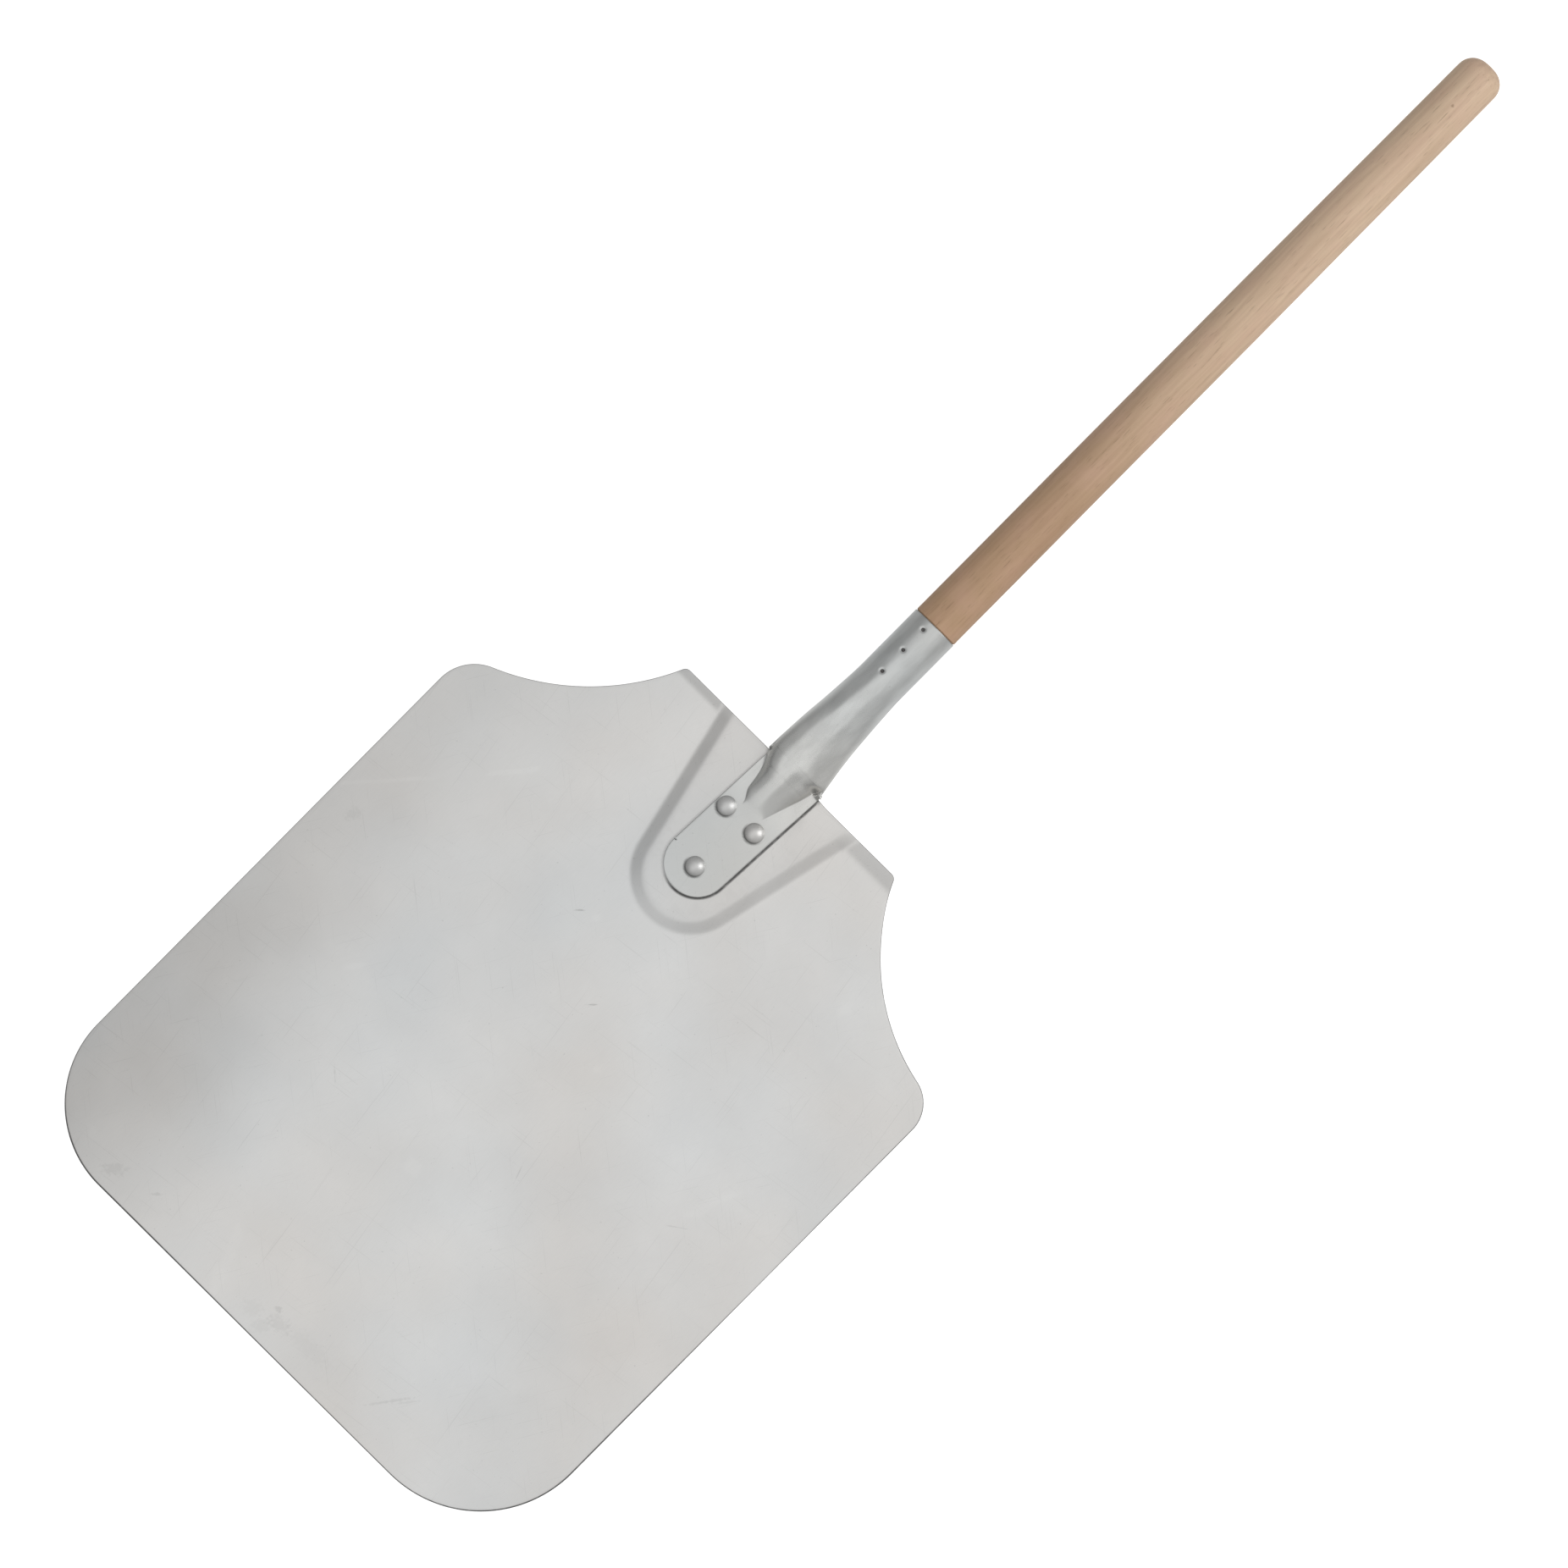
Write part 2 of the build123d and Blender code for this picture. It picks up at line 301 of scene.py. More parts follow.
def tongue_loops():
    """Points along the tongue's outline, at several distances from it, for its line of dirt and painted
    shadow.
    """
    straight = np.arange(0.0, TONGUE_SIDE_RUN, TONGUE_SIDE_SPACING)
    around = np.linspace(-pi, 0, TONGUE_NOSE_POINTS + 2)[1:-1]
    points = []
    for out in TONGUE_LOOPS:
        radius = TONGUE_HALF_WIDTH + out
        shape = [(side * radius, along) for side in (-1, 1) for along in straight]
        shape += [(radius * cos(a), radius * sin(a)) for a in around]
        for across, along in shape:
            x = across * cos(TONGUE_TURN) + along * sin(TONGUE_TURN)
            y = along * cos(TONGUE_TURN) - across * sin(TONGUE_TURN)
            points.append((neck_x + TONGUE_NOSE_X + x, rear_y - TONGUE_NOSE_RUN + y))
    return points


def edge_round(point):
    """The cut edge's bevel, and its dirt with painted shade, at a point of the outline."""
    bearing = degrees(atan2(point.y - (front_y + rear_y) / 2, point.x))
    bearings, bevels, dirt = zip(*EDGE_ROUND)
    return float(np.interp(bearing, bearings, bevels)), float(np.interp(bearing, bearings, dirt))


def outline_normals(outline):
    """Outward normals at the points of a closed outline."""
    normals = []
    for i in range(len(outline)):
        tangent = outline[(i + 1) % len(outline)] - outline[i - 1]
        normals.append(Vector((tangent.y, -tangent.x)).normalized())
    return normals


def sheet_places():
    """Places for the mesh's points: wide apart where the sheet is flat, close together at the bends."""
    spots = []
    for spacing in (COARSE, FINE):
        xs = np.arange(-half_width, half_width, spacing)
        ys = np.arange(front_y, rear_y, spacing)
        grid_x, grid_y = (axis.ravel() for axis in np.meshgrid(xs, ys))
        reach = pad_reach(grid_x, grid_y)
        near_wall = (reach > -BEND_REACH) & (reach < PAD_WALL_RUN + BEND_REACH)
        dense = near_wall | (grid_y > rear_y - REAR_REACH)
        keep = dense if spacing == FINE else ~dense
        spots += list(zip(grid_x[keep], grid_y[keep]))
    return spots + tongue_loops()


def points_inside(points, polygon, clearance):
    """The points that lie inside the polygon, and further than the clearance from its edges."""
    points = np.array(points)
    polygon = np.array(polygon)
    inside = np.zeros(len(points), bool)
    nearest = np.full(len(points), np.inf)
    for (x1, y1), (x2, y2) in zip(polygon, np.roll(polygon, -1, axis=0)):
        crosses = (y1 > points[:, 1]) != (y2 > points[:, 1])
        if y1 != y2:
            inside ^= crosses & (points[:, 0] < (x2 - x1) * (points[:, 1] - y1) / (y2 - y1) + x1)
        edge = np.array((x2 - x1, y2 - y1))
        along = np.clip(((points - (x1, y1)) @ edge) / max(edge @ edge, 1e-12), 0, 1)
        nearest = np.minimum(nearest, np.linalg.norm(points - (x1, y1) - along[:, None] * edge, axis=1))
    return points[inside & (nearest > clearance)]


def rim_loops(bevels):
    """Loops round the rim, from the top down: how far each point lies inside the outline, and its height."""
    loops = []
    for turn in map(radians, BEVEL_TURNS):
        loops.append([(b * (1 - sin(turn)), sheet - BEVEL_STEEPNESS * b * (1 - cos(turn))) for b in bevels])
    for turn in map(radians, UNDERSIDE_TURNS):
        spot = (UNDERSIDE_ROUNDING * (1 - cos(turn)), UNDERSIDE_ROUNDING * (1 - sin(turn)))
        loops.append([spot] * len(bevels))
    return loops


def blade_dullness_and_shade(x, y):
    """How dull the finish is, and how much painted shade it carries: on the rear margins, on the pad and its
    walls, and on the left side.
    """
    reach = pad_reach(x, y)
    margins = np.zeros_like(x)
    for side, length, _ in REAR_MARGINS:
        fold = rear_y - length
        level = smooth_step(fold - 1.0 * MM, fold + 2.5 * MM, y)
        margins = np.where((x - neck_x) * side > 0, MARGIN_DULL_AND_SHADE[side] * level, margins)
    margins *= 1 - smooth_step(-BEND_REACH, 0, reach)
    # Painted shade towards the front left, with a rougher finish
    left_shade = smooth_step(*LEFT_SHADE_ACROSS, -x) * (LEFT_SHADE_AT_REAR + (1 - LEFT_SHADE_AT_REAR) * smooth_step(*LEFT_SHADE_ALONG, -y))
    arms = smooth_step(*PAD_ARMS, np.abs(x - neck_x)) * (1 - smooth_step(*PAD_WALL_ENDS, reach))
    pad = smooth_step(-1 * MM, 1 * MM, reach) * (PAD_DULL_AND_SHADE + WALL_DULL_AND_SHADE * arms)
    return np.maximum(margins, np.maximum(left_shade, pad))


def make_blade():
    """The blade: one sheet with rounded bends and an unevenly ground edge."""
    outline = blade_outline()
    count = len(outline)
    normals = outline_normals(outline)
    bevels, edge_dirt_and_shade = zip(*(edge_round(p) for p in outline))

    inner = [p - n * RIM_WIDTH for p, n in zip(outline, normals)]
    inside = points_inside(sheet_places(), [(p.x, p.y) for p in inner], CLEAR_OF_RIM)
    flat = inner + [Vector(p) for p in inside]
    border = [(i, (i + 1) % count) for i in range(count)]
    verts, _, faces, *_ = delaunay_2d_cdt(flat, border, [list(range(count))], 1, 1e-7)

    # Upper face, underside, and the rim's loops between them
    total = len(verts)
    places = np.array([(p.x, p.y) for p in verts])
    lift = blade_lift(places[:, 0], places[:, 1])
    coords = [(x, y, z + sheet) for (x, y), z in zip(places, lift)]
    coords += [(x, y, z) for (x, y), z in zip(places, lift)]
    loops = rim_loops(bevels)
    for loop in loops:
        placed = [p - n * inset for p, n, (inset, _) in zip(outline, normals, loop)]
        lifts = blade_lift([p.x for p in placed], [p.y for p in placed])
        coords += [(p.x, p.y, z + h) for p, z, (_, h) in zip(placed, lifts, loop)]
    coords = [(x, y - rear_slant(x, y), z) for x, y, z in coords]

    polygons = [tuple(face) for face in faces]
    polygons += [tuple(total + i for i in reversed(face)) for face in faces]
    rings = [list(range(count))]
    rings += [[2 * total + k * count + i for i in range(count)] for k in range(len(loops))]
    rings += [[total + i for i in range(count)]]
    for upper, lower in zip(rings, rings[1:]):
        for i in range(count):
            j = (i + 1) % count
            polygons.append((upper[i], lower[i], lower[j], upper[j]))
    mesh = bpy.data.meshes.new("blade_sheet_metal")
    mesh.from_pydata(coords, [], polygons)
    mesh.shade_smooth()

    x, y, _ = np.array(coords).T
    # Dirt and painted contact shadow along the tongue's edge
    distance, dirt = from_tongue(x, y)
    line = smooth_step(*TONGUE_DIRT_AND_SHADOW_START, distance) * (1 - smooth_step(*TONGUE_DIRT_AND_SHADOW_REACH, distance))
    # The rim's loops all get dirt and painted shade, except the first, which bounds the upper face
    edge = np.zeros_like(x)
    edge[2 * total + count :] = edge_dirt_and_shade * (len(loops) - 1)
    paint_points(mesh, "dirt", np.maximum(dirt * line, edge))
    # Duller finish with painted shade on the rear margins, the pad, its walls and the left side
    paint_points(mesh, "dulled", blade_dullness_and_shade(x, y))
    return stand_in("blade_sheet_metal", mesh, "blade")


# -------- socket

# Curves along the socket, in millimetres: (behind the blade's rear edge, value)
BOSS_ROOT = {
    -1: ((-60, 7.0), (-33, 7.0), (-29, 6.8), (-27, 7.4), (-23.5, 9.8))
    + ((-16, 11.5), (-8, 13.5), (-1, 15.6), (6, 17.0)),
    1: ((-60, 7.0), (-33, 7.0), (-29, 6.6), (-26, 7.3), (-16, 10.0), (-5.3, 12.9), (-2, 13.8), (6, 15.0)),
}
BOSS_TOP = (
    (-32, TONGUE_TOP / MM),
    (-28.5, TONGUE_TOP / MM + 0.6),
    (-26, TONGUE_TOP / MM + 1.7),
    (-16, TONGUE_TOP / MM + 5.8),
    (-5.3, TONGUE_TOP / MM + 9.6),
    (4, 17.8),
    (12, 19.6),
)
BOSS_FULLNESS = {
    -1: ((-30, 1.6), (-26, 1.7), (-16, 2.0), (-5.3, 2.3), (0, 2.4)),
    1: ((-30, 1.4), (-26, 1.3), (-16, 1.3), (-5.3, 1.4), (0, 1.5)),
}
BOSS_SHOULDER = {-1: 2.2, 1: 1.5}
SOCKET_CENTRE = ((-31, 0.2), (-16, 0.8), (-5, 1.4), (0, 1.2), (10, 0.6), (24, 0.0), (40, 0.0))
NECK_HALF_WIDTH = ((-2, 18.7), (0, 18.6), (19, 16.8), (38, 15.1), (52, 14.1), (66, 13.5))
NECK_HALF_HEIGHT = ((-2, 7.6), (0, 7.8), (19, 10.2), (38, 12.0), (52, 13.0), (66, 13.5))
CREST_SHIFT = ((-30, -0.8), (-16, -1.4), (-5, -2.2), (10, -2.9), (30, -2.6), (50, -1.2), (66, 0.0))
NECK_SQUARENESS = {
    -1: ((0, 2.3), (20, 2.2), (45, 2.05), (66, 2.0)),
    1: ((0, 1.65), (20, 1.75), (45, 1.9), (66, 2.0)),
}

# How far behind the rear edge the wings and the crown curl from boss to neck, for each side
WING_CURL = {-1: (-3.8 * MM, 1.8 * MM), 1: (-2.6 * MM, 1.2 * MM)}
CROWN_CURL = {-1: (-13.0 * MM, 11.0 * MM), 1: (-2.2 * MM, 5.5 * MM)}
CROWN_SHARE = 0.83

MOUTH_GAP = 0.5 * MM
SEAM_WIDTH = 0.6 * MM
RIM_ROUNDING = 0.3 * MM
SOCKET_UNDERSIDE = 0.8 * MM
FOLD_SOFTENING = 3
TUBE_SCUFF = 0.45
TONGUE_DULL = 0.28

# Grid of the outer face: its lanes, by side and step from the top, and its rows in stretches, each with
# the place behind the rear edge where it ends and its spacing
CROWN_STEPS, WING_STEPS, WRAP_STEPS, NOSE_STEPS = 24, 16, 26, 24
LANES = [(-1, step) for step in range(CROWN_STEPS + WING_STEPS, 0, -1)]
LANES += [(1, step) for step in range(CROWN_STEPS + WING_STEPS + 1)]
MOUTH = MOUTH_GAP + RIM_ROUNDING
TUBE_END = tube_end_y - rear_y - RIM_ROUNDING
ROWS_AHEAD = ((-32 * MM, 0.8 * MM), (-6 * MM, 0.9 * MM), (MOUTH, 0.35 * MM))
ROWS_BEHIND = ((4 * MM, 0.4 * MM), (62 * MM, 1.4 * MM), (TUBE_END, 0.5 * MM))

# Rivets and nails
RIVET_NAMES = ("tongue_rivet_front", "tongue_rivet_left", "tongue_rivet_right")
RIVET_PLACES = [tuple(sum(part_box(name), Vector()) / 2)[:2] for name in RIVET_NAMES]
RIVET_RING_INSIDE, RIVET_RING_OUTSIDE = (4.6 * MM, 5.2 * MM), (5.6 * MM, 6.6 * MM)
NAIL_LEAN = radians(15)
NAIL_NAMES = ("ferrule_nail_1", "ferrule_nail_2", "ferrule_nail_3")
NAIL_PLACES = [sum(corner.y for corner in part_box(name)) / 2 for name in NAIL_NAMES]
DIMPLE_RADIUS = 2.6 * MM
DIMPLE_DEPTH = 0.9 * MM

# Dents at the mouth: place, size and depth, and how much shorter they are along the socket than across
MOUTH_DENTS = (
    ((15.4 * MM, 0.8 * MM), 3.0 * MM, 1.8 * MM),
    ((-16.4 * MM, 0.6 * MM), 2.0 * MM, 0.6 * MM),
)
DENT_SQUASH = 1.2


def curve_through(knots, back):
    """Value at a place behind the rear edge, on a smooth curve that is level beyond its end knots."""
    places, values = (np.array(column, float) for column in zip(*knots))
    slopes = np.gradient(values, places)
    slopes[0] = slopes[-1] = 0
    x = float(np.clip(back / MM, places[0], places[-1]))
    i = min(int(np.searchsorted(places, x, side="right")) - 1, len(places) - 2)
    width = places[i + 1] - places[i]
    t = (x - places[i]) / width
    ends = (2 * t**3 - 3 * t**2 + 1) * values[i] + (3 * t**2 - 2 * t**3) * values[i + 1]
    return ends + width * ((t**3 - 2 * t**2 + t) * slopes[i] + (t**3 - t**2) * slopes[i + 1])


def tongue_edge(side, back):
    """How far the tongue's edge lies from the middle of the neck, on one side."""
    centre = TONGUE_OFFSET_AT_REAR + back * tan(TONGUE_TURN)
    flare = (TONGUE_HALF_WIDTH_AT_REAR - TONGUE_HALF_WIDTH) * (1 + back / TONGUE_NOSE_RUN)
    return side * centre + TONGUE_HALF_WIDTH / cos(TONGUE_TURN) + flare


def neck_section(side, back):
    """Middle, half width and half height of the neck or tube."""
    centre = side * curve_through(SOCKET_CENTRE, back) * MM
    half_wide = curve_through(NECK_HALF_WIDTH, back) * MM
    return centre, half_wide, curve_through(NECK_HALF_HEIGHT, back) * MM


def socket_point(side, step, back):
    """Point of the socket's outer face: across and up, at a step from the top towards one edge."""
    crown = min(step / CROWN_STEPS, 1.0)
    wing = max(step - CROWN_STEPS, 0) / WING_STEPS
    root = curve_through(BOSS_ROOT[side], back) * MM
    top = curve_through(BOSS_TOP, back) * MM
    fullness = curve_through(BOSS_FULLNESS[side], back)
    centre, half_wide, half_high = neck_section(side, back)
    turn = crown * pi / 2
    crest = side * curve_through(CREST_SHIFT, back) * MM
    boss_x = centre + crest * (1 - sin(turn)) + root * sin(turn) ** (2 / BOSS_SHOULDER[side])
    boss_z = TONGUE_TOP + (top - TONGUE_TOP) * max(cos(turn), 0) ** (2 / fullness)
    boss_x += (tongue_edge(side, back) - boss_x) * wing

    turn = (crown * CROWN_SHARE + wing * (1 - CROWN_SHARE)) * pi / 2
    squareness = curve_through(NECK_SQUARENESS[side], back)
    neck_across = centre + crest * (1 - sin(turn)) + half_wide * sin(turn) ** (2 / squareness)
    neck_z = SOCKET_UNDERSIDE + half_high * (1 + cos(turn) ** (2 / squareness))

    quick, slow = (float(smooth_step(*curls[side], back)) for curls in (WING_CURL, CROWN_CURL))
    curl = slow + (quick - slow) * wing**0.6
    across = boss_x + (neck_across - boss_x) * curl
    return side * across, boss_z + (neck_z - boss_z) * curl


def wrap_point(side, step, back):
    """Point of the socket's outer face under its widest line, at a step from that line towards the seam."""
    centre, half_wide, half_high = neck_section(side, back)
    last = pi - (SEAM_WIDTH / 2 + RIM_ROUNDING) / half_wide
    turn = pi / 2 + (last - pi / 2) * step / WRAP_STEPS
    return side * (centre + half_wide * sin(turn)), SOCKET_UNDERSIDE + half_high * (1 + cos(turn))


def spaced(start, end, spacing):
    """Places from start towards end, about the spacing apart, without the end."""
    count = max(1, round((end - start) / spacing))
    return [start + (end - start) * i / count for i in range(count)]


def in_stretches(start, stretches):
    """Places from start through stretches that each have an end and a spacing, without the last end."""
    places = []
    for end, spacing in stretches:
        places += spaced(start, end, spacing)
        start = end
    return places


def nail_dimple(point):
    """How far the sheet is pressed in at a point of the tube, round the nails."""
    depth = 0.0
    for nail_y in NAIL_PLACES:
        across = (point.x - neck_x) + tube_radius * sin(NAIL_LEAN)
        distance = hypot(across / cos(NAIL_LEAN), point.y - nail_y)
        if point.z > axis_z and distance < DIMPLE_RADIUS:
            depth += DIMPLE_DEPTH * (0.5 + 0.5 * cos(pi * distance / DIMPLE_RADIUS)) ** 1.5
    return depth


def thicken(sheet_mesh, thickness, rounding):
    """Makes a closed sheet of an outer face: an inner face under it and a rounded rim round its border."""
    sheet_mesh.normal_update()
    outer = list(sheet_mesh.verts)
    faces = list(sheet_mesh.faces)
    border = [edge for edge in sheet_mesh.edges if edge.is_boundary]
    away = {}
    for edge in border:
        loop = edge.link_loops[0]
        along = loop.link_loop_next.vert.co - loop.vert.co
        outwards = along.cross(edge.link_faces[0].normal).normalized()
        for vert in edge.verts:
            away[vert] = away.get(vert, Vector()) + outwards
    inner = {vert: sheet_mesh.verts.new(vert.co - vert.normal * thickness) for vert in outer}
    rims = {}
    for vert, outwards in away.items():
        outwards = outwards.normalized()
        chain = [vert]
        for depth in (0, thickness):
            for turn in (30, 60, 90) if depth == 0 else (90, 60, 30):
                drop = rounding * (1 - cos(radians(turn)))
                level = drop if depth == 0 else thickness - drop
                spot = vert.co + outwards * rounding * sin(radians(turn)) - vert.normal * level
                chain.append(sheet_mesh.verts.new(spot))
        rims[vert] = chain + [inner[vert]]
    for face in faces:
        sheet_mesh.faces.new([inner[vert] for vert in reversed(face.verts)])
    for edge in border:
        loop = edge.link_loops[0]
        first, second = rims[loop.link_loop_next.vert], rims[loop.vert]
        for i in range(len(first) - 1):
            sheet_mesh.faces.new((first[i], second[i], second[i + 1], first[i + 1]))


def nose_rows(first):
    """The tongue's round nose, from its front to the first straight row."""
    left, right = first[0].x, first[-1].x
    centre_x, centre_y = neck_x + TONGUE_NOSE_X, rear_y - TONGUE_NOSE_RUN
    radius = TONGUE_HALF_WIDTH - RIM_ROUNDING
    rows = []
    for depth in range(NOSE_STEPS, 0, -1):
        forward = depth / NOSE_STEPS
        row = []
        for spot in first:
            across = 2 * (spot.x - left) / (right - left) - 1
            x = across * sqrt(1 - forward**2 / 2) * radius
            y = forward * sqrt(1 - across**2 / 2) * radius
            turned_x = x * cos(TONGUE_TURN) - y * sin(TONGUE_TURN)
            turned_y = -x * sin(TONGUE_TURN) - y * cos(TONGUE_TURN)
            row.append(Vector((centre_x + turned_x, centre_y + turned_y, spot.z)))
        rows.append(row)
    return rows


def outer_face():
    """Points of the outer face, row by row from nose to tube end, and the first row behind the mouth."""
    ahead = in_stretches(-TONGUE_NOSE_RUN, ROWS_AHEAD)
    behind = in_stretches(MOUTH, ROWS_BEHIND) + [TUBE_END]
    rows = []
    for back in ahead + behind:
        row = []
        for side, step in LANES:
            across, z = socket_point(side, step, back)
            # The tongue's edge is drawn in by the rim's rounding
            share = max(step - CROWN_STEPS, 0) / WING_STEPS if back < MOUTH else 0
            row.append(Vector((neck_x + (across - side * share * RIM_ROUNDING), rear_y + back, z)))
        rows.append(row)
    nose = nose_rows(rows[0])
    # The first straight row is turned a little too, so that it joins the nose
    for spot in rows[0]:
        spot.y -= (spot.x - neck_x - TONGUE_NOSE_X) * sin(TONGUE_TURN)
    grid = np.array([[tuple(spot) for spot in row] for row in nose + rows])
    soften(grid)
    return grid, len(nose) + len(ahead)


def wrap_under(built, side, border):
    """Carries the outer face on from its border, round under the tube to the seam."""
    near = border
    for step in range(1, WRAP_STEPS + 1):
        far = []
        for vert in border:
            across, z = wrap_point(side, step, vert.co.y - rear_y)
            far.append(built.verts.new((neck_x + across, vert.co.y, z)))
        for i in range(len(near) - 1):
            corners = (near[i], far[i], far[i + 1], near[i + 1])
            built.faces.new(corners if side > 0 else corners[::-1])
        near = far


def socket_dirt_and_shade(x, y):
    """Dirt and painted shadow along the tongue's edge, a dark band at the tube's end, and painted shadow
    round the rivets and in the dents.
    """
    distance, dirt = from_tongue(x, y)
    ahead = 1 - smooth_step(rear_y - 1.5 * MM, rear_y + 0.5 * MM, y)
    end = smooth_step(tube_end_y - 0.6 * MM, tube_end_y - 0.1 * MM, y)
    grime = dirt * ahead * smooth_step(-0.5 * MM, -0.1 * MM, distance) + 0.5 * end
    # Painted shadow round each rivet's foot, mostly on the side that faces the blade's front
    for rivet_x, rivet_y in RIVET_PLACES:
        away = np.hypot(x - rivet_x, y - rivet_y)
        ring = smooth_step(*RIVET_RING_INSIDE, away) * (1 - smooth_step(*RIVET_RING_OUTSIDE, away))
        shaded = smooth_step(-0.3, 0.9, (rivet_y - y + 0.2 * (rivet_x - x)) / np.maximum(away, 1e-6))
        grime = np.maximum(grime, ring * (0.05 + 0.85 * shaded))
    # Painted shade in the dents at the mouth
    for (dent_x, dent_y), size, _ in MOUTH_DENTS:
        away = np.hypot(x - neck_x - dent_x, y - rear_y - dent_y)
        grime = np.maximum(grime, 0.8 * (1 - smooth_step(0.15 * size, 0.75 * size, away)))
    return np.minimum(grime, 1)


def make_socket():
    """The socket: one pressed sheet with a flat tongue, a half-round boss, a neck and a seamed tube."""
    grid, wrap_start = outer_face()
    built = bmesh.new()
    verts = [[built.verts.new(pressed(spot)) for spot in row] for row in grid]
    for upper, lower in zip(verts, verts[1:]):
        for i in range(len(LANES) - 1):
            built.faces.new((upper[i], upper[i + 1], lower[i + 1], lower[i]))
    for side, lane in ((-1, 0), (1, -1)):
        wrap_under(built, side, [row[lane] for row in verts[wrap_start:]])
    thicken(built, SOCKET_SHEET, RIM_ROUNDING)
    mesh = bpy.data.meshes.new("pressed_socket")
    built.to_mesh(mesh)
    built.free()

    x, y = np.array([(vert.co.x, vert.co.y) for vert in mesh.vertices]).T
    paint_points(mesh, "dirt", socket_dirt_and_shade(x, y))
    tube = TUBE_SCUFF * smooth_step(rear_y + 45 * MM, tube_end_y, y)
    tongue = TONGUE_DULL * (1 - smooth_step(rear_y - 35 * MM, rear_y - 20 * MM, y))
    paint_points(mesh, "dulled", tube + tongue)
    mesh.shade_smooth()
    return stand_in("pressed_socket", mesh, "socket")


def pressed(spot):
    """A point of the outer face, pressed in where it lies in a nail's dimple or in a dent of the mouth."""
    spot = Vector(spot)
    for place, size, sink in MOUTH_DENTS:
        away = hypot(spot.x - neck_x - place[0], (spot.y - rear_y - place[1]) * DENT_SQUASH)
        spot.z -= sink * float(1 - smooth_step(0.2 * size, size, away))
    depth = nail_dimple(spot)
    if depth:
        inwards = Vector((neck_x - spot.x, 0, axis_z - spot.z)).normalized()
        spot += inwards * depth
    return spot


def soften(grid):
    """Rounds the boss's foot and the folds at the mouth, and leaves the edges where they are."""
    back = grid[:, :, 1] - rear_y
    near = smooth_step(-33 * MM, -29 * MM, back) * (1 - smooth_step(3 * MM, 9 * MM, back))
    for _ in range(FOLD_SOFTENING):
        across = grid.copy()
        across[:, 1:-1] = (grid[:, :-2] + 2 * grid[:, 1:-1] + grid[:, 2:]) / 4
        along = across.copy()
        along[1:-1] = (across[:-2] + 2 * across[1:-1] + across[2:]) / 4
        along[:, :, 1] = grid[:, :, 1]
        weight = near[:, :, None]
        grid[:, 1:-1] += (weight * (along - grid))[:, 1:-1]


# -------- handle

TENON_PLAY = 0.05 * MM
TENON_START_RADIUS = 8.5 * MM
TUBE_START = 66.0 * MM
SHOULDER_CHAMFER = 0.8 * MM
TIP_RADIUS = 12.8 * MM
TIP_ROUNDING = 9.8 * MM
HANDLE_SIDES = 96
TIP_STEPS = 14
RING_SPACING = 2.5 * MM
FLATS_DEPTH = 0.05 * MM

# Dents near the tip: place along, turn from the top in radians, size and depth
DENTS = ((tip_y - 28 * MM, 0.1, 3 * MM, 0.2 * MM), (tip_y - 52 * MM, -0.2, 2.5 * MM, 0.15 * MM))


def make_handle():
    """The wooden handle: a turned grip with a rounded tip, and the tenon inside the tube."""
    tenon = tube_radius - SOCKET_SHEET - TENON_PLAY
    grip_end = tube_end_y + SHOULDER_CHAMFER + grip_length
    profile = [(handle_low.y, 0.0), (handle_low.y, TENON_START_RADIUS)]
    profile += [(rear_y + TUBE_START, tenon), (tube_end_y, tenon)]
    profile += [(tube_end_y, grip_radius - SHOULDER_CHAMFER)]
    places = spaced(tube_end_y + SHOULDER_CHAMFER, grip_end, RING_SPACING)
    profile += [(y, grip_radius) for y in places]
    slimming = grip_radius - TIP_RADIUS
    rounding_start = tip_y - TIP_ROUNDING
    for y in spaced(grip_end, rounding_start, RING_SPACING):
        profile.append((y, grip_radius - slimming * (y - grip_end) / (tip_y - grip_end)))
    for step in range(TIP_STEPS + 1):
        turn = radians(90 * step / TIP_STEPS)
        radius = TIP_RADIUS - TIP_ROUNDING * (1 - cos(turn))
        profile.append((rounding_start + TIP_ROUNDING * sin(turn), radius))
    profile.append((tip_y, 0.0))

    built = bmesh.new()
    rings = []
    for y, radius in profile:
        if radius == 0:
            rings.append([built.verts.new((neck_x, y, axis_z))])
            continue
        ring = []
        for i in range(HANDLE_SIDES):
            turn = 2 * pi * i / HANDLE_SIDES
            shape = radius - handle_wear(y, turn) if y > tube_end_y + 2 * MM else radius
            ring.append(built.verts.new((neck_x + shape * sin(turn), y, axis_z + shape * cos(turn))))
        rings.append(ring)
    for near, far in zip(rings, rings[1:]):
        for i in range(HANDLE_SIDES):
            j = (i + 1) % HANDLE_SIDES
            if len(near) == 1:
                built.faces.new((near[0], far[i], far[j]))
            elif len(far) == 1:
                built.faces.new((near[j], near[i], far[0]))
            else:
                built.faces.new((near[i], far[i], far[j], near[j]))
    bmesh.ops.recalc_face_normals(built, faces=built.faces)
    mesh = bpy.data.meshes.new("wooden_handle")
    built.to_mesh(mesh)
    built.free()
    mesh.shade_smooth()
    mesh.set_sharp_from_angle(angle=radians(40))
    return stand_in("wooden_handle", mesh, "handle")


def handle_wear(y, turn):
    """How far the sanded wood lies inside its true cylinder: faint flats, and a few dents."""
    wear = FLATS_DEPTH * (1 + sin(3 * turn + y / (60 * MM)) * sin(y / (37 * MM) + 2 * turn))
    for dent_y, dent_turn, size, depth in DENTS:
        away = hypot(y - dent_y, grip_radius * ((turn - dent_turn + pi) % (2 * pi) - pi))
        wear += depth * float(1 - smooth_step(0, size, away))
    return wear


# -------- materials

